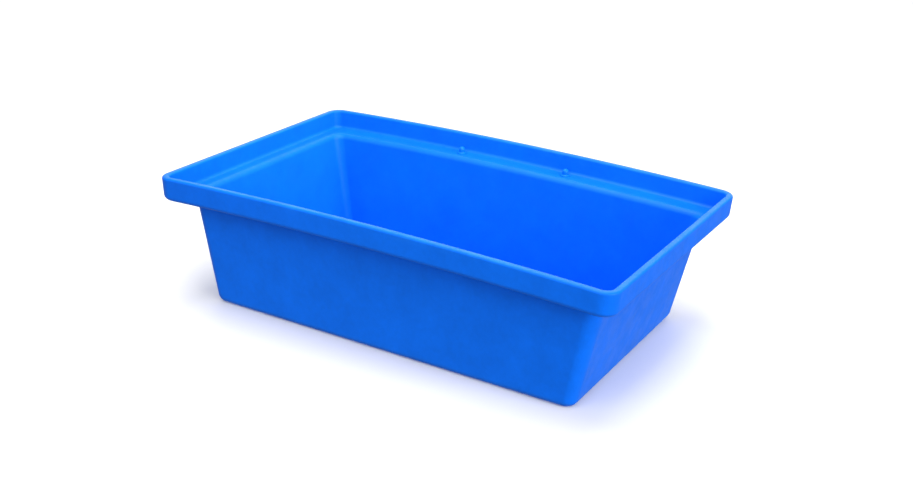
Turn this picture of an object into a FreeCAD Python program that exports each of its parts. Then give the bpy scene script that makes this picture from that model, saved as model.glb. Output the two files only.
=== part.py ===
import FreeCAD, Part

import math
import os

from FreeCAD import Vector

# Mud pan: a one-piece moulded tub with drafted walls, a flat ledge all round its mouth and an
# upright lip outside the ledge, and two domed locating pegs snapped through the ledge.
#
# Sizes are in millimetres and degrees. +X runs along the pan's length, +Y points to the long side
# that carries the pegs, and +Z is up. The origin is the middle of the underside it stands on.

# Rim, over the outside of the lip at its top
RIM_LENGTH = 450.0
RIM_WIDTH = 278.0
RIM_CORNER_HEIGHT = 124.0  # height of the rim at its four corners
RIM_RISE = 4.8  # extra height of the long sides at mid length
RIM_CORNER_RADIUS = 14.0

# Lip
LIP_HEIGHT = 22.2  # outside, from the ledge's underside to the rim's top
LIP_THICKNESS = 6.6
LIP_END_DRAFT = 3.5
LIP_SIDE_DRAFT = 2.0
LIP_TOP_ROUND = 2.2
LIP_LOWER_ROUND = 5.0

# Ledge
LEDGE_THICKNESS = 3.6
LEDGE_OUTER_FILLET = 3.5  # hollow corner where the ledge meets the lip
LEDGE_INNER_ROUND = 6.0  # rounded edge where the ledge drops into the tub
LEDGE_UNDER_FILLET = 3.0  # hollow corner where the ledge's underside meets the tub

# Tub
END_OVERHANG = 18.0  # reach of the ledge beyond the tub's end walls, at the ledge's underside
SIDE_OVERHANG = 23.4  # the same beyond the long walls
END_WALL_DRAFT = 11.5
SIDE_WALL_DRAFT = 3.0
WALL_THICKNESS = 3.6
FLOOR_THICKNESS = 4.0
TUB_UPPER_CORNER_RADIUS = 13.0
TUB_LOWER_CORNER_RADIUS = 10.0
FLOOR_OUTER_ROUND = 8.0
FLOOR_INNER_FILLET = 5.0

# Locating pegs
PEG_SPACING = 116.0
PEG_INSET = 7.2  # from the foot of the lip's inner face to the peg's axis
PEG_HEIGHT = 7.2  # above its seat in the ledge
PEG_DIAMETER = 6.2
PEG_FLANGE_REACH = 1.7  # flange's edge beyond the peg's side
PEG_FLANGE_THICKNESS = 1.2
PEG_FLARE = 1.0  # hollow radius between the flange and the peg
PEG_SHANK_DIAMETER = 5.0
PEG_BARB_REACH = 0.5  # barb's shoulder beyond the shank's side
PEG_BARB_HEIGHT = 3.4
PEG_BARB_TAPER = 1.2  # how much smaller the barb's radius is at its tip than at its shoulder
PEG_SPLIT_WIDTH = 1.2  # slot that lets the barbed shank close as it is pushed in
PEG_SPLIT_ROOT = 1.0  # solid shank left above the slot
HOLE_CLEARANCE = 0.1  # radial, shank to ledge
BARB_CLEARANCE = 0.15  # between the barb and the ledge's underside
SEAT_DEPTH = 0.4  # flat seat sunk into the ledge under each flange
SEAT_CLEARANCE = 0.3  # radial, flange to the edge of its seat

OVERRUN = 6.0  # how far a cutting block runs past what it cuts
MATCH = 0.02  # how near an edge must be to a surface to be taken as lying on it

PEG_RADIUS = PEG_DIAMETER / 2
FLANGE_RADIUS = PEG_RADIUS + PEG_FLANGE_REACH
SHANK_RADIUS = PEG_SHANK_DIAMETER / 2
BARB_RADIUS = SHANK_RADIUS + PEG_BARB_REACH
LEDGE_UNDERSIDE = RIM_CORNER_HEIGHT - LIP_HEIGHT  # at the corners
LEDGE_TOP = LEDGE_UNDERSIDE + LEDGE_THICKNESS  # at the corners
ABOVE_RIM = RIM_CORNER_HEIGHT + RIM_RISE + OVERRUN


def slope(angle):
    """Horizontal run of a drafted wall for each unit of height."""
    return math.tan(math.radians(angle))


def arch(x):
    """Height of the rim's arch above its corners, at a place along the length."""
    half = RIM_LENGTH / 2
    radius = (half**2 + RIM_RISE**2) / (2 * RIM_RISE)
    return RIM_RISE - radius + math.sqrt(radius**2 - x**2)


class Taper:
    """A rectangular form with rounded corners and drafted sides, known at one height."""

    def __init__(self, height, half_length, half_width, radius, end_slope, side_slope, radius_slope):
        self.height = height
        self.half_length = half_length
        self.half_width = half_width
        self.radius = radius
        self.end_slope = end_slope
        self.side_slope = side_slope
        self.radius_slope = radius_slope

    def at(self, z):
        """Half length, half width and corner radius at a height."""
        rise = z - self.height
        half_length = self.half_length + rise * self.end_slope
        half_width = self.half_width + rise * self.side_slope
        radius = self.radius + rise * self.radius_slope
        return half_length, half_width, radius

    def inset(self, thickness):
        """The same form, moved in on every side by a wall's thickness."""
        return Taper(
            self.height,
            self.half_length - thickness,
            self.half_width - thickness,
            self.radius - thickness,
            self.end_slope,
            self.side_slope,
            self.radius_slope,
        )

    def outline(self, z):
        """The closed outline at a height."""
        half_length, half_width, radius = self.at(z)
        corners = []
        for quarter, (side_x, side_y) in enumerate(((1, 1), (-1, 1), (-1, -1), (1, -1))):
            centre = Vector(side_x * (half_length - radius), side_y * (half_width - radius), z)
            circle = Part.Circle(centre, Vector(0, 0, 1), radius)
            start = quarter * math.pi / 2
            corners.append(Part.Arc(circle, start, start + math.pi / 2).toShape())
        edges = []
        for corner, following in zip(corners, corners[1:] + corners[:1]):
            edges.append(corner)
            edges.append(straight(corner.Vertexes[-1].Point, following.Vertexes[0].Point))
        return Part.Wire(edges)

    def block(self, low, high):
        """The solid between two heights."""
        return Part.makeLoft([self.outline(low), self.outline(high)], True, True)

    def distance(self, point):
        """How far a point is from the form's sides, measured level at the point's height."""
        half_length, half_width, radius = self.at(point.z)
        past_x = abs(point.x) - (half_length - radius)
        past_y = abs(point.y) - (half_width - radius)
        to_corner_axis = math.hypot(max(past_x, 0.0), max(past_y, 0.0))
        return abs(to_corner_axis + min(max(past_x, past_y), 0.0) - radius)


def straight(start, end):
    """A straight edge."""
    return Part.LineSegment(start, end).toShape()


def lip_outside():
    """The lip's outer faces."""
    return Taper(
        RIM_CORNER_HEIGHT,
        RIM_LENGTH / 2,
        RIM_WIDTH / 2,
        RIM_CORNER_RADIUS,
        slope(LIP_END_DRAFT),
        slope(LIP_SIDE_DRAFT),
        0.0,
    )


def tub_outside():
    """The outer faces of the tub's walls."""
    ledge_half_length, ledge_half_width, _ = lip_outside().at(LEDGE_UNDERSIDE)
    return Taper(
        LEDGE_UNDERSIDE,
        ledge_half_length - END_OVERHANG,
        ledge_half_width - SIDE_OVERHANG,
        TUB_UPPER_CORNER_RADIUS,
        slope(END_WALL_DRAFT),
        slope(SIDE_WALL_DRAFT),
        (TUB_UPPER_CORNER_RADIUS - TUB_LOWER_CORNER_RADIUS) / LEDGE_UNDERSIDE,
    )


def arched_slab(low, high):
    """A slab as large as the rim, between two surfaces that both follow the rim's arch."""
    reach = RIM_LENGTH / 2 + OVERRUN
    half_depth = RIM_WIDTH / 2 + OVERRUN

    def arched_edge(z, start, end):
        """An edge that follows the arch, on the slab's near side."""
        points = [Vector(x, -half_depth, z + arch(x)) for x in (start, 0.0, end)]
        return Part.Arc(*points).toShape()

    lower = arched_edge(low, -reach, reach)
    upper = arched_edge(high, reach, -reach)
    right = straight(lower.Vertexes[-1].Point, upper.Vertexes[0].Point)
    left = straight(upper.Vertexes[-1].Point, lower.Vertexes[0].Point)
    face = Part.Face(Part.Wire([lower, right, upper, left]))
    return face.extrude(Vector(0, 2 * half_depth, 0))


def edges_where(shape, form, height_at):
    """The edges of a shape that lie on a form's sides, at a height that may vary along the length."""
    found = []
    for edge in shape.Edges:
        start, end = edge.ParameterRange
        points = [edge.valueAt(start + (end - start) * share) for share in (0.1, 0.5, 0.9)]
        on_sides = all(form.distance(point) < MATCH for point in points)
        on_height = all(abs(point.z - height_at(point.x)) < MATCH for point in points)
        if on_sides and on_height:
            found.append(edge)
    return found


def level(z):
    """A height that is the same all over."""
    return lambda x: z


def arched(z):
    """A height that follows the rim's arch from z at the corners."""
    return lambda x: z + arch(x)


def peg_positions():
    """The two pegs' names and the places of their axes."""
    lip_inside = lip_outside().inset(LIP_THICKNESS)
    lip_foot = lip_inside.at(LEDGE_TOP)[1]
    y = lip_foot - PEG_INSET
    return {"left": (-PEG_SPACING / 2, y), "right": (PEG_SPACING / 2, y)}


def seat_height():
    """Height of the flat seats that the pegs' flanges rest on."""
    return LEDGE_TOP + arch(PEG_SPACING / 2) - SEAT_DEPTH


def barb_top():
    """Height of the shoulder of the pegs' barbs, just under the ledge's lowest point beside them."""
    outermost = PEG_SPACING / 2 + BARB_RADIUS
    return LEDGE_UNDERSIDE + arch(outermost) - BARB_CLEARANCE


def make_tub_shell():
    """The one-piece moulding: floor, walls, ledge and lip, with a seat and a hole for each peg."""
    lip = lip_outside()
    lip_inside = lip.inset(LIP_THICKNESS)
    tub = tub_outside()
    tub_inside = tub.inset(WALL_THICKNESS)

    ledge_middle = LEDGE_UNDERSIDE + LEDGE_THICKNESS / 2
    tub_block = tub.block(0, ABOVE_RIM).cut(arched_slab(ledge_middle, ABOVE_RIM + OVERRUN))
    rim_slab = arched_slab(LEDGE_UNDERSIDE, RIM_CORNER_HEIGHT)
    rim_block = lip.block(LEDGE_UNDERSIDE - OVERRUN, ABOVE_RIM).common(rim_slab)
    lip_hollow = lip_inside.block(LEDGE_TOP - OVERRUN, ABOVE_RIM)
    lip_hollow = lip_hollow.common(arched_slab(LEDGE_TOP, ABOVE_RIM + OVERRUN))
    tub_hollow = tub_inside.block(FLOOR_THICKNESS, ABOVE_RIM)
    shell = tub_block.fuse(rim_block).cut(lip_hollow).cut(tub_hollow).removeSplitter()

    rounds = (
        (tub, level(0), FLOOR_OUTER_ROUND),
        (tub_inside, level(FLOOR_THICKNESS), FLOOR_INNER_FILLET),
        (tub, arched(LEDGE_UNDERSIDE), LEDGE_UNDER_FILLET),
        (tub_inside, arched(LEDGE_TOP), LEDGE_INNER_ROUND),
        (lip_inside, arched(LEDGE_TOP), LEDGE_OUTER_FILLET),
        (lip, arched(LEDGE_UNDERSIDE), LIP_LOWER_ROUND),
        (lip, arched(RIM_CORNER_HEIGHT), LIP_TOP_ROUND),
        (lip_inside, arched(RIM_CORNER_HEIGHT), LIP_TOP_ROUND),
    )
    for form, height_at, radius in rounds:
        shell = shell.makeFillet(radius, edges_where(shell, form, height_at))

    hole_length = LEDGE_THICKNESS + 2 * OVERRUN
    for x, y in peg_positions().values():
        seat = Part.makeCylinder(FLANGE_RADIUS + SEAT_CLEARANCE, OVERRUN, Vector(x, y, seat_height()))
        hole_foot = Vector(x, y, barb_top() - OVERRUN)
        hole = Part.makeCylinder(SHANK_RADIUS + HOLE_CLEARANCE, hole_length, hole_foot)
        shell = shell.cut(seat).cut(hole)
    return shell


def make_peg(x, y):
    """A domed peg with a flange that rests on the ledge and a split, barbed shank below it."""
    seat = seat_height()
    shoulder = barb_top()
    tip = shoulder - PEG_BARB_HEIGHT
    flange_top = seat + PEG_FLANGE_THICKNESS
    dome_foot = seat + PEG_HEIGHT - PEG_RADIUS
    half_way = math.sqrt(0.5)  # sine and cosine of the middle of a quarter turn

    def at(r, z):
        """A point of the half section, in the plane y = 0."""
        return Vector(r, 0, z)

    flare = Part.Arc(
        at(PEG_RADIUS + PEG_FLARE, flange_top),
        at(PEG_RADIUS + PEG_FLARE * (1 - half_way), flange_top + PEG_FLARE * (1 - half_way)),
        at(PEG_RADIUS, flange_top + PEG_FLARE),
    )
    dome = Part.Arc(
        at(PEG_RADIUS, dome_foot),
        at(PEG_RADIUS * half_way, dome_foot + PEG_RADIUS * half_way),
        at(0, dome_foot + PEG_RADIUS),
    )
    lower = Part.makePolygon(
        [
            at(0, tip),
            at(BARB_RADIUS - PEG_BARB_TAPER, tip),
            at(BARB_RADIUS, shoulder),
            at(SHANK_RADIUS, shoulder),
            at(SHANK_RADIUS, seat),
            at(FLANGE_RADIUS, seat),
            at(FLANGE_RADIUS, flange_top),
            at(PEG_RADIUS + PEG_FLARE, flange_top),
        ]
    )
    side = straight(at(PEG_RADIUS, flange_top + PEG_FLARE), at(PEG_RADIUS, dome_foot))
    axis = straight(at(0, dome_foot + PEG_RADIUS), at(0, tip))
    section = Part.Face(Part.Wire(lower.Edges + [flare.toShape(), side, dome.toShape(), axis]))
    peg = section.revolve(Vector(0, 0, 0), Vector(0, 0, 1), 360)

    split_foot = tip - OVERRUN
    split_height = seat - PEG_SPLIT_ROOT - split_foot
    corner = Vector(-PEG_SPLIT_WIDTH / 2, -2 * BARB_RADIUS, split_foot)
    peg = peg.cut(Part.makeBox(PEG_SPLIT_WIDTH, 4 * BARB_RADIUS, split_height, corner))
    peg.translate(Vector(x, y, 0))
    return peg


def main():
    """Write one file for each piece."""
    os.makedirs("parts", exist_ok=True)
    pieces = {"tub_shell": make_tub_shell()}
    for side, (x, y) in peg_positions().items():
        pieces["locating_peg_" + side] = make_peg(x, y)
    for name, shape in pieces.items():
        solid = shape.Solids[0]
        print(name, "solids", len(shape.Solids), "valid", solid.isValid(), "mm3", round(solid.Volume, 1))
        solid.exportStep("parts/" + name + ".step")


main()
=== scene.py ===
"""A moulded plastic mud pan with two locating pegs, on a plain pale floor in soft studio light."""

import logging
import math
from dataclasses import dataclass, field
from enum import Enum

import bmesh
import bpy
from mathutils import Matrix, Vector


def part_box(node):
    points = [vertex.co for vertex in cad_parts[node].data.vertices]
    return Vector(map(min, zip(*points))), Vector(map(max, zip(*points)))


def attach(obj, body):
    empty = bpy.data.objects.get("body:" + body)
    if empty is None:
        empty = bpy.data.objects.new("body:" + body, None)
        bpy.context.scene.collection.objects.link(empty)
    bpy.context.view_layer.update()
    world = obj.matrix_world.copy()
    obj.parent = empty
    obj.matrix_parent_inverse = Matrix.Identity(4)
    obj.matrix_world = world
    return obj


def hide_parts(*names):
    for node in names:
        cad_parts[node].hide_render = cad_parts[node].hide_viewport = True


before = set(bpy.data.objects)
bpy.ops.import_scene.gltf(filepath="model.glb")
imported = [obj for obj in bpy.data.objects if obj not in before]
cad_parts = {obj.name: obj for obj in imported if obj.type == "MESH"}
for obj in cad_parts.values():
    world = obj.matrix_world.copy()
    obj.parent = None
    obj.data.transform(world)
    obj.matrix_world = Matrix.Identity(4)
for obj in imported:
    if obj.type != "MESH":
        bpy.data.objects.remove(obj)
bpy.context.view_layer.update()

log = logging.getLogger("mud_pan")

MM = 0.001
BODY = "root"
SENSOR_WIDTH_MM = 36.0

# Features for each metre of surface
PEEL_SCALE = 620.0
WAVE_SCALE = 16.0
GLOSS_SCALE = 55.0
CLOUD_SCALE = 34.0
FINE_CLOUD_SCALE = 210.0
SCUFF_SCALE = 90.0
FLOOR_GRAIN_SCALE = 40.0

FINE_CLOUD_SHARE = 0.35  # strength of the fine clouding beside the broad one
CLOUD_CONTRAST = 4.0
SMOOTH_TUB = 35.0  # degrees between faces that are shaded as one surface
SMOOTH_PEG = 40.0


# ---------------------------------------------------------------------------------------------
# Modelling helpers
# ---------------------------------------------------------------------------------------------


def slope(angle: float) -> float:
    """Horizontal run of a drafted wall for each unit of height."""
    return math.tan(math.radians(angle))


def deselect_all() -> None:
    """Leave object mode with nothing selected."""
    if bpy.context.object is not None and bpy.context.object.mode != "OBJECT":
        bpy.ops.object.mode_set(mode="OBJECT")
    bpy.ops.object.select_all(action="DESELECT")


def make_active(piece: bpy.types.Object) -> None:
    """Select one object alone and make it the active one."""
    deselect_all()
    piece.select_set(True)
    bpy.context.view_layer.objects.active = piece


def apply_modifier(piece: bpy.types.Object, kind: str, name: str, **settings: object) -> None:
    """Add a modifier to a piece and apply it.

    Args:
        piece: The object that is changed.
        kind: The modifier's type.
        name: The modifier's name.
        **settings: Values set on the modifier before it is applied.
    """
    make_active(piece)
    modifier = piece.modifiers.new(name, kind)
    for key, value in settings.items():
        setattr(modifier, key, value)
    bpy.ops.object.modifier_apply(modifier=modifier.name)


def cut_away(piece: bpy.types.Object, cutter: bpy.types.Object) -> None:
    """Cut one object's shape out of a piece, and remove the cutter.

    Args:
        piece: The object that is cut.
        cutter: The closed shape that is taken away.
    """
    apply_modifier(piece, "BOOLEAN", "cut", operation="DIFFERENCE", solver="EXACT", object=cutter)
    bpy.data.objects.remove(cutter, do_unlink=True)


def finish_mesh(piece: bpy.types.Object, smooth_angle: float) -> None:
    """Close seams, point faces outwards and shade smoothly, with sharp edges kept.

    Args:
        piece: The object that is finished.
        smooth_angle: Largest angle between faces that are shaded as one surface, in degrees.
    """
    make_active(piece)
    bpy.ops.object.mode_set(mode="EDIT")
    bpy.ops.mesh.select_all(action="SELECT")
    bpy.ops.mesh.remove_doubles(threshold=0.002 * MM)
    bpy.ops.mesh.normals_make_consistent(inside=False)
    bpy.ops.object.mode_set(mode="OBJECT")
    bpy.ops.object.transform_apply(location=True, rotation=True, scale=True)
    bpy.ops.object.shade_smooth_by_angle(angle=math.radians(smooth_angle))
    apply_modifier(piece, "WEIGHTED_NORMAL", "even_shading", keep_sharp=True, weight=60)


# ---------------------------------------------------------------------------------------------
# Finishes
# ---------------------------------------------------------------------------------------------


class Effect(Enum):
    """Surface effects that more than one plastic shares."""

    MOULDED_SKIN = "moulded_skin"
    COLOUR_DRIFT = "colour_drift"
    HANDLING_WEAR = "handling_wear"


def new_group(
    effect: Effect,
    inputs: dict[str, tuple[str, object]],
    outputs: dict[str, str],
) -> tuple[bpy.types.NodeTree, bpy.types.Node, bpy.types.Node]:
    """Start a shader node group with named sockets.

    Args:
        effect: The effect that the group makes.
        inputs: Each input's socket type and default, by name.
        outputs: Each output's socket type, by name.

    Returns:
        The group, its input node and its output node.
    """
    group = bpy.data.node_groups.new(effect.value, "ShaderNodeTree")
    for name, (kind, default) in inputs.items():
        socket = group.interface.new_socket(name=name, in_out="INPUT", socket_type=kind)
        if default is not None:
            socket.default_value = default
    for name, kind in outputs.items():
        group.interface.new_socket(name=name, in_out="OUTPUT", socket_type=kind)
    return group, group.nodes.new("NodeGroupInput"), group.nodes.new("NodeGroupOutput")


def add_noise(
    tree: bpy.types.NodeTree,
    vector: bpy.types.NodeSocket,
    scale: float,
    detail: float,
    roughness: float = 0.5,
) -> bpy.types.Node:
    """Add a noise texture to a node tree.

    Args:
        tree: The node tree.
        vector: The socket that gives the place.
        scale: Features for each metre.
        detail: Number of finer layers.
        roughness: Strength of the finer layers.

    Returns:
        The noise node.
    """
    noise = tree.nodes.new("ShaderNodeTexNoise")
    noise.inputs["Scale"].default_value = scale
    noise.inputs["Detail"].default_value = detail
    noise.inputs["Roughness"].default_value = roughness
    tree.links.new(vector, noise.inputs["Vector"])
    return noise


def add_math(
    tree: bpy.types.NodeTree,
    operation: str,
    first: "bpy.types.NodeSocket | float",
    second: "bpy.types.NodeSocket | float",
) -> bpy.types.NodeSocket:
    """Add a math node, each of whose inputs is a socket or a number.

    Args:
        tree: The node tree.
        operation: The math node's operation.
        first: First input.
        second: Second input.

    Returns:
        The node's output socket.
    """
    node = tree.nodes.new("ShaderNodeMath")
    node.operation = operation
    for index, value in enumerate((first, second)):
        if isinstance(value, (int, float)):
            node.inputs[index].default_value = value
        else:
            tree.links.new(value, node.inputs[index])
    return node.outputs[0]


def add_range(
    tree: bpy.types.NodeTree,
    value: bpy.types.NodeSocket,
    low: float,
    high: float,
    to_low: float = 0.0,
    to_high: float = 1.0,
) -> bpy.types.NodeSocket:
    """Add a map range node with a smooth step.

    Args:
        tree: The node tree.
        value: The socket that is mapped.
        low: Input that gives to_low.
        high: Input that gives to_high.
        to_low: Output at low.
        to_high: Output at high.

    Returns:
        The node's output socket.
    """
    node = tree.nodes.new("ShaderNodeMapRange")
    node.interpolation_type = "SMOOTHSTEP"
    limits = {"From Min": low, "From Max": high, "To Min": to_low, "To Max": to_high}
    for name, number in limits.items():
        node.inputs[name].default_value = number
    tree.links.new(value, node.inputs["Value"])
    return node.outputs["Result"]


def build_moulded_skin() -> bpy.types.NodeTree:
    """Fine orange peel over a slow waviness, as a moulded wall cools.

    Returns:
        A node group that puts out a height in metres and a gloss mask.
    """
    inputs = {
        "Place": ("NodeSocketVector", None),
        "Peel Height": ("NodeSocketFloat", 0.00003),
        "Wave Height": ("NodeSocketFloat", 0.0003),
    }
    outputs = {"Height": "NodeSocketFloat", "Gloss Mask": "NodeSocketFloat"}
    group, start, end = new_group(Effect.MOULDED_SKIN, inputs, outputs)
    place = start.outputs["Place"]
    peel = add_noise(group, place, PEEL_SCALE, 2.0)
    wave = add_noise(group, place, WAVE_SCALE, 1.5, 0.35)
    gloss = add_noise(group, place, GLOSS_SCALE, 4.0, 0.6)
    peel_height = add_math(group, "MULTIPLY", peel.outputs["Fac"], start.outputs["Peel Height"])
    wave_height = add_math(group, "MULTIPLY", wave.outputs["Fac"], start.outputs["Wave Height"])
    height = add_math(group, "ADD", peel_height, wave_height)
    group.links.new(height, end.inputs["Height"])
    group.links.new(add_range(group, gloss.outputs["Fac"], 0.3, 0.7), end.inputs["Gloss Mask"])
    return group


def build_colour_drift() -> bpy.types.NodeTree:
    """Cloudy drift of the pigment, a few percent lighter and darker.

    Returns:
        A node group that puts out the plastic's colour.
    """
    inputs = {
        "Place": ("NodeSocketVector", None),
        "Colour": ("NodeSocketColor", (0.0, 0.14, 0.85, 1.0)),
        "Depth": ("NodeSocketFloat", 0.05),
    }
    group, start, end = new_group(Effect.COLOUR_DRIFT, inputs, {"Colour": "NodeSocketColor"})
    cloud = add_noise(group, start.outputs["Place"], CLOUD_SCALE, 5.0, 0.62)
    fine = add_noise(group, start.outputs["Place"], FINE_CLOUD_SCALE, 3.0, 0.6)
    fine_part = add_math(group, "MULTIPLY", fine.outputs["Fac"], FINE_CLOUD_SHARE)
    blend = add_math(group, "ADD", cloud.outputs["Fac"], fine_part)
    centred = add_math(group, "SUBTRACT", blend, 0.5 * (1.0 + FINE_CLOUD_SHARE))
    scaled = add_math(group, "MULTIPLY", centred, start.outputs["Depth"])
    value = add_math(group, "ADD", add_math(group, "MULTIPLY", scaled, CLOUD_CONTRAST), 1.0)
    shade = group.nodes.new("ShaderNodeHueSaturation")
    group.links.new(start.outputs["Colour"], shade.inputs["Color"])
    group.links.new(value, shade.inputs["Value"])
    group.links.new(shade.outputs["Color"], end.inputs["Colour"])
    return group


def build_handling_wear() -> bpy.types.NodeTree:
    """Faint paler rubbing between two heights, broken up by scuffs.

    Returns:
        A node group that puts out a mask.
    """
    inputs = {
        "Place": ("NodeSocketVector", None),
        "Low": ("NodeSocketFloat", 0.0),
        "High": ("NodeSocketFloat", 1.0),
        "Amount": ("NodeSocketFloat", 0.5),
    }
    group, start, end = new_group(Effect.HANDLING_WEAR, inputs, {"Mask": "NodeSocketFloat"})
    place = start.outputs["Place"]
    parts = group.nodes.new("ShaderNodeSeparateXYZ")
    group.links.new(place, parts.inputs[0])
    span = group.nodes.new("ShaderNodeMapRange")
    span.interpolation_type = "SMOOTHSTEP"
    group.links.new(parts.outputs["Z"], span.inputs["Value"])
    group.links.new(start.outputs["Low"], span.inputs["From Min"])
    group.links.new(start.outputs["High"], span.inputs["From Max"])
    scuff = add_noise(group, place, SCUFF_SCALE, 6.0, 0.7)
    broken = add_range(group, scuff.outputs["Fac"], 0.42, 0.68)
    mask = add_math(group, "MULTIPLY", span.outputs["Result"], broken)
    group.links.new(add_math(group, "MULTIPLY", mask, start.outputs["Amount"]), end.inputs["Mask"])
    return group


class EffectShelf:
    """The effect groups, each built once and placed wherever a finish asks for it."""

    def __init__(self) -> None:
        """Build every effect."""
        self.groups = {
            Effect.MOULDED_SKIN: build_moulded_skin(),
            Effect.COLOUR_DRIFT: build_colour_drift(),
            Effect.HANDLING_WEAR: build_handling_wear(),
        }

    def place(
        self,
        tree: bpy.types.NodeTree,
        effect: Effect,
        coordinates: bpy.types.NodeSocket,
        **values: object,
    ) -> bpy.types.Node:
        """Place an effect in a material.

        Args:
            tree: The material's node tree.
            effect: The effect.
            coordinates: The socket that gives the place.
            **values: The group's input values, with underscores for spaces.

        Returns:
            The group's node.
        """
        node = tree.nodes.new("ShaderNodeGroup")
        node.node_tree = self.groups[effect]
        tree.links.new(coordinates, node.inputs["Place"])
        for name, value in values.items():
            node.inputs[name.replace("_", " ")].default_value = value
        return node


@dataclass(frozen=True)
class MouldedPlastic:
    """A pigmented moulded plastic with a satin skin."""

    name: str
    colour: tuple[float, float, float]
    worn_colour: tuple[float, float, float]
    drift: float
    roughness_low: float
    roughness_high: float
    peel_height: float
    wave_height: float
    wear_low: float
    wear_high: float
    wear_amount: float
    specular: float = 0.1

    def build(self, shelf: EffectShelf) -> bpy.types.Material:
        """Build the material.

        Args:
            shelf: The shared effects.

        Returns:
            The material.
        """
        material = bpy.data.materials.new(self.name)
        material.use_nodes = True
        tree = material.node_tree
        shader = next(n for n in tree.nodes if n.type == "BSDF_PRINCIPLED")
        place = tree.nodes.new("ShaderNodeTexCoord").outputs["Object"]
        shader.inputs["IOR"].default_value = 1.5
        shader.inputs["Specular IOR Level"].default_value = self.specular
        drift = shelf.place(tree, Effect.COLOUR_DRIFT, place, Colour=(*self.colour, 1.0), Depth=self.drift)
        skin = shelf.place(
            tree,
            Effect.MOULDED_SKIN,
            place,
            Peel_Height=self.peel_height,
            Wave_Height=self.wave_height,
        )
        wear = shelf.place(
            tree,
            Effect.HANDLING_WEAR,
            place,
            Low=self.wear_low,
            High=self.wear_high,
            Amount=self.wear_amount,
        )
        rubbed = tree.nodes.new("ShaderNodeMix")
        rubbed.data_type = "RGBA"
        rubbed.inputs["B"].default_value = (*self.worn_colour, 1.0)
        tree.links.new(wear.outputs["Mask"], rubbed.inputs["Factor"])
        tree.links.new(drift.outputs["Colour"], rubbed.inputs["A"])
        tree.links.new(rubbed.outputs["Result"], shader.inputs["Base Color"])
        gloss = skin.outputs["Gloss Mask"]
        roughness = add_range(tree, gloss, 0.0, 1.0, self.roughness_low, self.roughness_high)
        tree.links.new(roughness, shader.inputs["Roughness"])
        bump = tree.nodes.new("ShaderNodeBump")
        bump.inputs["Strength"].default_value = 1.0
        bump.inputs["Distance"].default_value = 1.0
        tree.links.new(skin.outputs["Height"], bump.inputs["Height"])
        tree.links.new(bump.outputs["Normal"], shader.inputs["Normal"])
        return material


@dataclass(frozen=True)
class PaleFloor:
    """A plain matt studio floor."""

    name: str = "pale_floor"
    colour: tuple[float, float, float] = (0.92, 0.92, 0.92)
    roughness: float = 0.85

    def build(self) -> bpy.types.Material:
        """Build the material.

        Returns:
            The material, with a barely visible grain.
        """
        material = bpy.data.materials.new(self.name)
        material.use_nodes = True
        tree = material.node_tree
        shader = next(n for n in tree.nodes if n.type == "BSDF_PRINCIPLED")
        shader.inputs["Base Color"].default_value = (*self.colour, 1.0)
        shader.inputs["Specular IOR Level"].default_value = 0.1
        place = tree.nodes.new("ShaderNodeTexCoord").outputs["Object"]
        grain = add_noise(tree, place, FLOOR_GRAIN_SCALE, 3.0)
        smoother, rougher = self.roughness - 0.05, self.roughness + 0.05
        rough = add_range(tree, grain.outputs["Fac"], 0.3, 0.7, smoother, rougher)
        tree.links.new(rough, shader.inputs["Roughness"])
        return material


# ---------------------------------------------------------------------------------------------
# Tub
# ---------------------------------------------------------------------------------------------


@dataclass(frozen=True)
class Outline:
    """A rounded rectangle at one height, and the round of the edge that it becomes."""

    name: str
    half_length: float
    half_width: float
    height: float
    corner_radius: float
    edge_round: float


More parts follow.
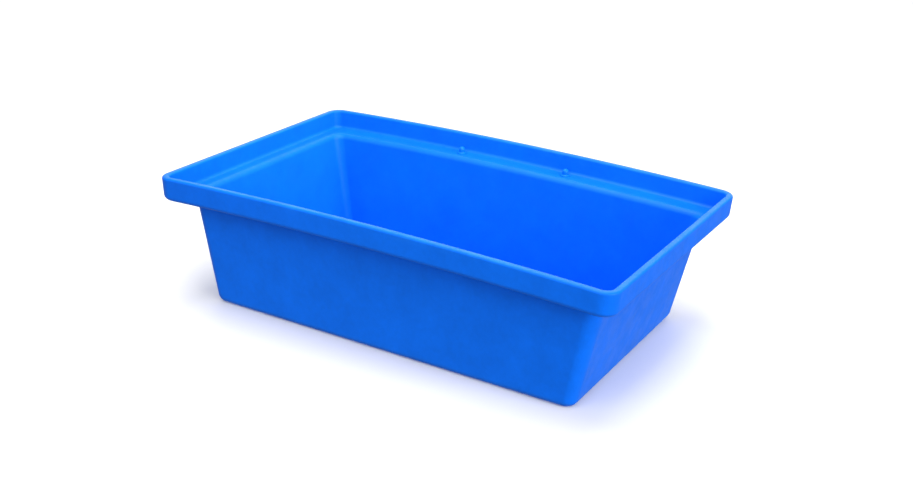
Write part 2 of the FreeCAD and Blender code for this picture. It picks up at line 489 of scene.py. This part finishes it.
@dataclass
class TubShell:
    """The one-piece moulding: floor, drafted walls, ledge and upright lip."""

    low: Vector
    high: Vector
    rim_rise: float = 4.8 * MM
    rim_corner_radius: float = 14.0 * MM
    lip_height: float = 22.2 * MM
    lip_thickness: float = 6.6 * MM
    lip_end_draft: float = 3.5
    lip_side_draft: float = 2.0
    lip_top_round: float = 2.2 * MM
    lip_lower_round: float = 5.0 * MM
    ledge_thickness: float = 3.6 * MM
    ledge_outer_fillet: float = 3.5 * MM
    ledge_inner_round: float = 6.0 * MM
    ledge_under_fillet: float = 3.0 * MM
    end_overhang: float = 18.0 * MM
    side_overhang: float = 23.4 * MM
    end_wall_draft: float = 11.5
    side_wall_draft: float = 3.0
    wall_thickness: float = 3.6 * MM
    floor_thickness: float = 4.0 * MM
    tub_upper_corner: float = 13.0 * MM
    tub_lower_corner: float = 10.0 * MM
    floor_outer_round: float = 8.0 * MM
    floor_inner_fillet: float = 5.0 * MM
    corner_steps: int = 12
    round_steps: int = 7
    long_side_cuts: int = 35
    short_side_cuts: int = 17
    arch_columns: int = 15
    bridge_lift: float = 60.0 * MM

    def outlines(self) -> list[Outline]:
        """The shell's section as eight outlines, from the underside round to the floor inside.

        Returns:
            The outlines in order.
        """
        end = slope(self.lip_end_draft)
        side = slope(self.lip_side_draft)
        rim_height = self.high.z - self.rim_rise
        rim_length = self.high.x + self.lip_top_round * end
        rim_width = self.high.y + (self.lip_top_round - self.rim_rise) * side
        under = rim_height - self.lip_height
        top = under + self.ledge_thickness
        foot_length = rim_length - self.lip_height * end
        foot_width = rim_width - self.lip_height * side
        inner_corner = self.rim_corner_radius - self.lip_thickness
        inner_drop = rim_height - top
        tub_end = slope(self.end_wall_draft)
        tub_side = slope(self.side_wall_draft)
        tub_length = foot_length - self.end_overhang
        tub_width = foot_width - self.side_overhang
        radius_run = (self.tub_upper_corner - self.tub_lower_corner) / under

        def tub_at(name: str, z: float, inset: float, edge_round: float) -> Outline:
            """The tub's outline at a height.

            Args:
                name: The outline's name.
                z: Its height.
                inset: How far it lies inside the tub's outer face.
                edge_round: The round of the edge that it becomes.

            Returns:
                The outline.
            """
            return Outline(
                name,
                tub_length - inset + (z - under) * tub_end,
                tub_width - inset + (z - under) * tub_side,
                z,
                self.tub_upper_corner - inset + (z - under) * radius_run,
                edge_round,
            )

        lip = self.lip_thickness
        outer_corner = self.rim_corner_radius
        top_round = self.lip_top_round
        return [
            tub_at("underside", self.low.z, 0.0, self.floor_outer_round),
            tub_at("under_ledge", under, 0.0, self.ledge_under_fillet),
            Outline("lip_foot", foot_length, foot_width, under, outer_corner, self.lip_lower_round),
            Outline("rim_outer", rim_length, rim_width, rim_height, outer_corner, top_round),
            Outline("rim_inner", rim_length - lip, rim_width - lip, rim_height, inner_corner, top_round),
            Outline(
                "ledge_outer",
                rim_length - lip - inner_drop * end,
                rim_width - lip - inner_drop * side,
                top,
                inner_corner,
                self.ledge_outer_fillet,
            ),
            tub_at("ledge_inner", top, self.wall_thickness, self.ledge_inner_round),
            tub_at("floor", self.low.z + self.floor_thickness, self.wall_thickness, self.floor_inner_fillet),
        ]

    def add_outline(self, piece: bpy.types.Object, outline: Outline) -> None:
        """Add one outline to the mesh as a closed line, in a vertex group of its own.

        Args:
            piece: The object in edit mode.
            outline: The outline that is added.
        """
        bpy.ops.mesh.select_all(action="DESELECT")
        first_new = len(bmesh.from_edit_mesh(piece.data).verts)
        bpy.ops.mesh.primitive_plane_add(size=2.0, location=(0.0, 0.0, outline.height))
        middle = (0.0, 0.0, outline.height)
        size = (outline.half_length, outline.half_width, 1.0)
        bpy.ops.transform.resize(value=size, center_override=middle)
        bpy.ops.mesh.bevel(
            affect="VERTICES",
            offset=outline.corner_radius,
            segments=self.corner_steps,
            clamp_overlap=False,
        )
        bpy.ops.mesh.delete(type="ONLY_FACE")
        bpy.ops.mesh.select_mode(type="EDGE")
        for cuts, along in ((self.long_side_cuts, 0), (self.short_side_cuts, 1)):
            mesh = bmesh.from_edit_mesh(piece.data)
            for edge in mesh.edges:
                start, end = edge.verts
                run = abs(start.co[along] - end.co[along])
                edge.select = start.index >= first_new and run > 2 * outline.corner_radius
            bmesh.update_edit_mesh(piece.data)
            bpy.ops.mesh.subdivide(number_cuts=cuts)
        bpy.ops.mesh.select_mode(type="VERT")
        mesh = bmesh.from_edit_mesh(piece.data)
        for vertex in mesh.verts:
            vertex.select = vertex.index >= first_new
        mesh.select_flush_mode()
        bmesh.update_edit_mesh(piece.data)
        bpy.ops.object.vertex_group_assign_new()
        piece.vertex_groups[-1].name = outline.name

    def select_outlines(self, piece: bpy.types.Object, *names: str) -> None:
        """Select the outlines of these names alone.

        Args:
            piece: The object in edit mode.
            *names: The outlines' names.
        """
        bpy.ops.mesh.select_all(action="DESELECT")
        for name in names:
            piece.vertex_groups.active_index = piece.vertex_groups[name].index
            bpy.ops.object.vertex_group_select()

    def skin_outlines(self, piece: bpy.types.Object, outlines: list[Outline]) -> None:
        """Join the outlines into a closed shell and round each edge by its own radius.

        Args:
            piece: The object in edit mode.
            outlines: The outlines in order.
        """
        for first, second in zip(outlines, outlines[1:]):
            # two outlines at one height are held apart while they are joined, so they pair up straight
            apart = self.bridge_lift if abs(first.height - second.height) < 0.1 * MM else 0.0
            self.select_outlines(piece, second.name)
            bpy.ops.transform.translate(value=(0.0, 0.0, apart))
            self.select_outlines(piece, first.name, second.name)
            bpy.ops.mesh.bridge_edge_loops(number_cuts=0)
            self.select_outlines(piece, second.name)
            bpy.ops.transform.translate(value=(0.0, 0.0, -apart))
        for name in (outlines[0].name, outlines[-1].name):
            self.select_outlines(piece, name)
            bpy.ops.mesh.edge_face_add()
        bpy.ops.mesh.select_all(action="SELECT")
        bpy.ops.mesh.normals_make_consistent(inside=False)
        wall_lean = (self.end_wall_draft + self.side_wall_draft) / 2
        lip_lean = (self.lip_end_draft + self.lip_side_draft) / 2
        leans = [wall_lean, wall_lean, lip_lean, -lip_lean, lip_lean, lip_lean, wall_lean, wall_lean]
        reaches = [
            outline.edge_round * math.tan(math.radians(90.0 - lean) / 2)
            for outline, lean in zip(outlines, leans)
        ]
        widest = max(reaches)
        for outline, reach in zip(outlines, reaches):
            self.select_outlines(piece, outline.name)
            bpy.ops.transform.edge_bevelweight(value=reach / widest)
        bpy.ops.object.mode_set(mode="OBJECT")
        piece.vertex_groups.clear()
        apply_modifier(
            piece,
            "BEVEL",
            "edge_rounds",
            width=widest,
            segments=self.round_steps,
            limit_method="WEIGHT",
            use_clamp_overlap=False,
        )

    def arch_rim(self, piece: bpy.types.Object, under: float) -> None:
        """Raise the middle of the long sides so that the ledge and the lip follow a shallow arch.

        Args:
            piece: The shell.
            under: Height of the ledge's underside at the corners.
        """
        layer = under * 0.55
        deselect_all()
        bpy.ops.object.add(type="LATTICE", location=(0.0, 0.0, under - 0.3 * MM))
        cage = bpy.context.object
        cage.data.points_u = self.arch_columns
        cage.data.points_v = 2
        cage.data.points_w = 3
        for direction in ("u", "v"):
            setattr(cage.data, "interpolation_type_" + direction, "KEY_CATMULL_ROM")
        cage.data.interpolation_type_w = "KEY_LINEAR"
        reach = self.high.x
        cage.scale = (2.0 * reach, 2.0 * self.high.y, 2.0 * layer)
        radius = (reach**2 + self.rim_rise**2) / (2 * self.rim_rise)
        for point in cage.data.points:
            x = point.co.x * 2.0 * reach
            lift = self.rim_rise - radius + math.sqrt(radius**2 - x**2)
            if point.co.z > -0.25:
                point.co_deform.z += lift / (2.0 * layer)
        apply_modifier(piece, "LATTICE", "rim_arch", object=cage)
        bpy.data.objects.remove(cage, do_unlink=True)

    def build(self) -> bpy.types.Object:
        """Build the shell.

        Returns:
            The finished object, without its peg seats.
        """
        outlines = self.outlines()
        deselect_all()
        bpy.ops.mesh.primitive_plane_add(size=1.0, location=(0.0, 0.0, 0.0))
        piece = bpy.context.object
        piece.name = "moulded_tub"
        piece.data.name = "moulded_tub"
        bpy.ops.object.mode_set(mode="EDIT")
        bpy.ops.mesh.select_all(action="SELECT")
        bpy.ops.mesh.delete(type="VERT")
        for outline in outlines:
            self.add_outline(piece, outline)
        self.skin_outlines(piece, outlines)
        self.arch_rim(piece, outlines[1].height)
        return piece

    def cut_peg_seat(self, piece: bpy.types.Object, peg: "LocatingPeg") -> None:
        """Sink a flat seat into the ledge and pierce it for one peg's shank.

        Args:
            piece: The shell.
            peg: The peg that the seat is for.
        """
        overrun = 6.0 * MM
        for radius, foot in (
            (peg.flange_radius + peg.seat_clearance, peg.seat),
            (peg.shank_radius + peg.hole_clearance, peg.seat - self.ledge_thickness - overrun / 2),
        ):
            deselect_all()
            length = peg.seat + overrun - foot
            bpy.ops.mesh.primitive_cylinder_add(
                vertices=peg.facets,
                radius=radius,
                depth=length,
                location=(peg.axis.x, peg.axis.y, foot + length / 2),
            )
            cut_away(piece, bpy.context.object)


# ---------------------------------------------------------------------------------------------
# Locating pegs
# ---------------------------------------------------------------------------------------------


@dataclass
class LocatingPeg:
    """A domed peg with a flange on the ledge and a split, barbed shank below it."""

    name: str
    low: Vector
    high: Vector
    height: float = 7.2 * MM
    radius: float = 3.1 * MM
    flange_reach: float = 1.7 * MM
    flange_thickness: float = 1.2 * MM
    flange_edge_round: float = 0.35 * MM
    flare: float = 1.0 * MM
    shank_radius: float = 2.5 * MM
    barb_reach: float = 0.5 * MM
    barb_height: float = 3.4 * MM
    barb_taper: float = 1.2 * MM
    split_width: float = 1.2 * MM
    split_root: float = 1.0 * MM
    hole_clearance: float = 0.1 * MM
    seat_clearance: float = 0.3 * MM
    facets: int = 64
    arc_steps: int = 10
    axis: Vector = field(init=False)
    seat: float = field(init=False)
    flange_radius: float = field(init=False)

    def __post_init__(self) -> None:
        """Work out the peg's place from the box it fills."""
        self.axis = (self.low + self.high) / 2
        self.seat = self.high.z - self.height
        self.flange_radius = self.radius + self.flange_reach

    def rings(self) -> list[tuple[float, float]]:
        """Radius and height of each ring, from the barb's tip to just under the dome's top.

        Returns:
            The rings in order.
        """
        tip = self.low.z
        shoulder = tip + self.barb_height
        barb = self.shank_radius + self.barb_reach
        flange_top = self.seat + self.flange_thickness
        dome_foot = self.high.z - self.radius
        edge = self.flange_edge_round
        rings = [
            (barb - self.barb_taper, tip),
            (barb, shoulder),
            (self.shank_radius, shoulder),
            (self.shank_radius, self.seat),
            (self.flange_radius, self.seat),
        ]
        for step in range(self.arc_steps + 1):
            turn = math.pi / 2 * step / self.arc_steps
            rings.append(
                (
                    self.flange_radius - edge * (1 - math.cos(turn)),
                    flange_top - edge * (1 - math.sin(turn)),
                )
            )
        for step in range(self.arc_steps + 1):
            turn = math.pi / 2 * step / self.arc_steps
            rings.append(
                (
                    self.radius + self.flare * (1 - math.sin(turn)),
                    flange_top + self.flare * (1 - math.cos(turn)),
                )
            )
        for step in range(self.arc_steps):
            turn = math.pi / 2 * step / self.arc_steps
            rings.append((self.radius * math.cos(turn), dome_foot + self.radius * math.sin(turn)))
        return rings

    def build(self) -> bpy.types.Object:
        """Build the peg.

        Returns:
            The finished object.
        """
        rings = self.rings()
        radius, height = rings[0]
        deselect_all()
        bpy.ops.mesh.primitive_circle_add(
            vertices=self.facets,
            radius=radius,
            fill_type="NGON",
            location=(self.axis.x, self.axis.y, height),
        )
        piece = bpy.context.object
        piece.name = self.name
        piece.data.name = self.name
        bpy.ops.object.transform_apply(location=True, rotation=True, scale=True)
        bpy.ops.object.mode_set(mode="EDIT")
        bpy.ops.mesh.select_all(action="SELECT")
        for next_radius, next_height in rings[1:]:
            bpy.ops.mesh.extrude_region_move(
                TRANSFORM_OT_translate={"value": (0.0, 0.0, next_height - height)}
            )
            ratio = next_radius / radius
            middle = (self.axis.x, self.axis.y, next_height)
            bpy.ops.transform.resize(value=(ratio, ratio, 1.0), center_override=middle)
            radius, height = next_radius, next_height
        bpy.ops.mesh.extrude_region_move(
            TRANSFORM_OT_translate={"value": (0.0, 0.0, self.high.z - height)}
        )
        bpy.ops.mesh.merge(type="CENTER")
        bpy.ops.object.mode_set(mode="OBJECT")
        self.split_shank(piece)
        return piece

    def split_shank(self, piece: bpy.types.Object) -> None:
        """Cut the slot that lets the barbed shank close as it is pushed in.

        Args:
            piece: The peg.
        """
        overrun = 4.0 * MM
        slot_top = self.seat - self.split_root
        slot_foot = self.low.z - overrun
        deselect_all()
        bpy.ops.mesh.primitive_cube_add(
            size=1.0,
            location=(self.axis.x, self.axis.y, (slot_top + slot_foot) / 2),
        )
        cutter = bpy.context.object
        cutter.scale = (self.split_width, 4 * self.flange_radius, slot_top - slot_foot)
        cut_away(piece, cutter)


# ---------------------------------------------------------------------------------------------
# Studio
# ---------------------------------------------------------------------------------------------


def direction(azimuth: float, elevation: float) -> Vector:
    """Unit direction towards a place round the pan.

    Args:
        azimuth: Degrees round from the front, towards the right-hand end.
        elevation: Degrees above the floor.

    Returns:
        The direction.
    """
    turn, rise = math.radians(azimuth), math.radians(elevation)
    return Vector((math.sin(turn) * math.cos(rise), -math.cos(turn) * math.cos(rise), math.sin(rise)))


@dataclass(frozen=True)
class SoftLight:
    """A very wide, even light from one side."""

    name: str
    azimuth: float
    elevation: float
    strength: float
    spread: float

    def build(self) -> None:
        """Add the light to the scene."""
        deselect_all()
        bpy.ops.object.light_add(type="SUN")
        lamp = bpy.context.object
        lamp.name = self.name
        lamp.rotation_euler = direction(self.azimuth, self.elevation).to_track_quat("Z", "Y").to_euler()
        lamp.data.energy = self.strength
        lamp.data.angle = math.radians(self.spread)


@dataclass(frozen=True)
class Softbox:
    """A large square light that hangs level above the pan."""

    name: str = "overhead_softbox"
    height: float = 0.85
    size: float = 0.7
    power: float = 7.0

    def build(self, stand: Vector) -> None:
        """Add the light over the middle of the pan."""
        deselect_all()
        bpy.ops.object.light_add(type="AREA", location=stand + Vector((0.0, 0.0, self.height)))
        lamp = bpy.context.object
        lamp.name = self.name
        lamp.data.shape = "SQUARE"
        lamp.data.size = self.size
        lamp.data.energy = self.power


@dataclass(frozen=True)
class StudioCamera:
    """The camera, placed round a point of the pan."""

    azimuth: float = 29.503
    elevation: float = 22.214
    roll: float = 2.317
    distance: float = 1.2
    focal_length: float = 49.649
    aim_offset: tuple[float, float, float] = (-0.00843, 0.03349, 0.05302)

    def build(self, stand: Vector) -> None:
        """Add the camera and make it the scene's.

        Args:
            stand: The middle of the face that the pan stands on.
        """
        back = direction(self.azimuth, self.elevation)
        right = Vector((0.0, 0.0, 1.0)).cross(back).normalized()
        up = back.cross(right)
        lean = math.radians(self.roll)
        leaned_right = right * math.cos(lean) + up * math.sin(lean)
        leaned_up = up * math.cos(lean) - right * math.sin(lean)
        place = stand + Vector(self.aim_offset) + back * self.distance
        matrix = Matrix((leaned_right, leaned_up, back)).transposed().to_4x4()
        matrix.translation = place
        deselect_all()
        bpy.ops.object.camera_add()
        camera = bpy.context.object
        camera.name = "studio_camera"
        camera.matrix_world = matrix
        camera.data.sensor_fit = "HORIZONTAL"
        camera.data.sensor_width = SENSOR_WIDTH_MM
        camera.data.lens = self.focal_length
        camera.data.dof.use_dof = False
        camera.data.clip_start = 0.01
        camera.data.clip_end = 100.0
        bpy.context.scene.camera = camera


@dataclass(frozen=True)
class Studio:
    """Floor, lights and camera."""

    floor_size: float = 40.0
    sky_strength: float = 0.35
    lights: tuple[SoftLight, ...] = (
        SoftLight("front_key", 0.0, 42.0, 1.42, 60.0),
        SoftLight("right_key", 80.0, 15.0, 3.2, 50.0),
        SoftLight("back_light", 200.0, 30.0, 1.1, 60.0),
    )

    def build(self, stand: Vector) -> None:
        """Build the studio round the pan.

        Args:
            stand: The middle of the face that the pan stands on.
        """
        deselect_all()
        bpy.ops.mesh.primitive_plane_add(size=self.floor_size, location=stand)
        floor = bpy.context.object
        floor.name = "studio_floor"
        floor.data.materials.append(PaleFloor().build())
        floor.visible_diffuse = False
        floor.visible_glossy = False
        world = bpy.data.worlds.new("studio_sky")
        world.use_nodes = True
        sky = next(n for n in world.node_tree.nodes if n.type == "BACKGROUND")
        sky.inputs["Color"].default_value = (1.0, 1.0, 1.0, 1.0)
        sky.inputs["Strength"].default_value = self.sky_strength
        bpy.context.scene.world = world
        for light in self.lights:
            light.build()
        Softbox().build(stand)
        StudioCamera().build(stand)
        bpy.context.scene.view_settings.view_transform = "Standard"
        bpy.context.scene.view_settings.look = "None"


# ---------------------------------------------------------------------------------------------
# Assembly
# ---------------------------------------------------------------------------------------------


def dress(piece: bpy.types.Object, material: bpy.types.Material) -> None:
    """Give a piece one material all over."""
    piece.data.materials.clear()
    piece.data.materials.append(material)


def hand_over(piece: bpy.types.Object, node: str) -> None:
    """Let a piece stand for a CAD node and report it.

    Args:
        piece: The finished piece.
        node: The CAD node that it stands for.
    """
    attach(piece, BODY)
    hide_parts(node)
    log.info("%s stands for %s, %d faces", piece.name, node, len(piece.data.polygons))


def main() -> None:
    """Build the pan, then the studio."""
    logging.basicConfig(level=logging.INFO, format="%(name)s: %(message)s")
    low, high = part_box("tub_shell")
    shelf = EffectShelf()
    tub_plastic = MouldedPlastic(
        name="tub_plastic",
        colour=(0.0022, 0.15, 0.86),
        worn_colour=(0.01, 0.2, 0.92),
        drift=0.09,
        roughness_low=0.36,
        roughness_high=0.46,
        peel_height=0.00003,
        wave_height=0.0003,
        wear_low=high.z - 8.0 * MM,
        wear_high=high.z - 1.0 * MM,
        wear_amount=0.35,
    ).build(shelf)
    peg_plastic = MouldedPlastic(
        name="peg_plastic",
        colour=(0.003, 0.165, 0.88),
        worn_colour=(0.012, 0.21, 0.92),
        drift=0.03,
        roughness_low=0.26,
        roughness_high=0.34,
        peel_height=0.000015,
        wave_height=0.0,
        wear_low=high.z,
        wear_high=high.z + 1.0 * MM,
        wear_amount=0.2,
    ).build(shelf)

    pegs = [
        (LocatingPeg(side + "_locating_peg", *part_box("locating_peg_" + side)), "locating_peg_" + side)
        for side in ("left", "right")
    ]
    shell = TubShell(low, high)
    tub = shell.build()
    for peg, _ in pegs:
        shell.cut_peg_seat(tub, peg)
    finish_mesh(tub, SMOOTH_TUB)
    dress(tub, tub_plastic)
    hand_over(tub, "tub_shell")
    for peg, node in pegs:
        piece = peg.build()
        finish_mesh(piece, SMOOTH_PEG)
        dress(piece, peg_plastic)
        hand_over(piece, node)

    Studio().build(Vector(((low.x + high.x) / 2, (low.y + high.y) / 2, low.z)))
    deselect_all()


if __name__ == "__main__":
    main()
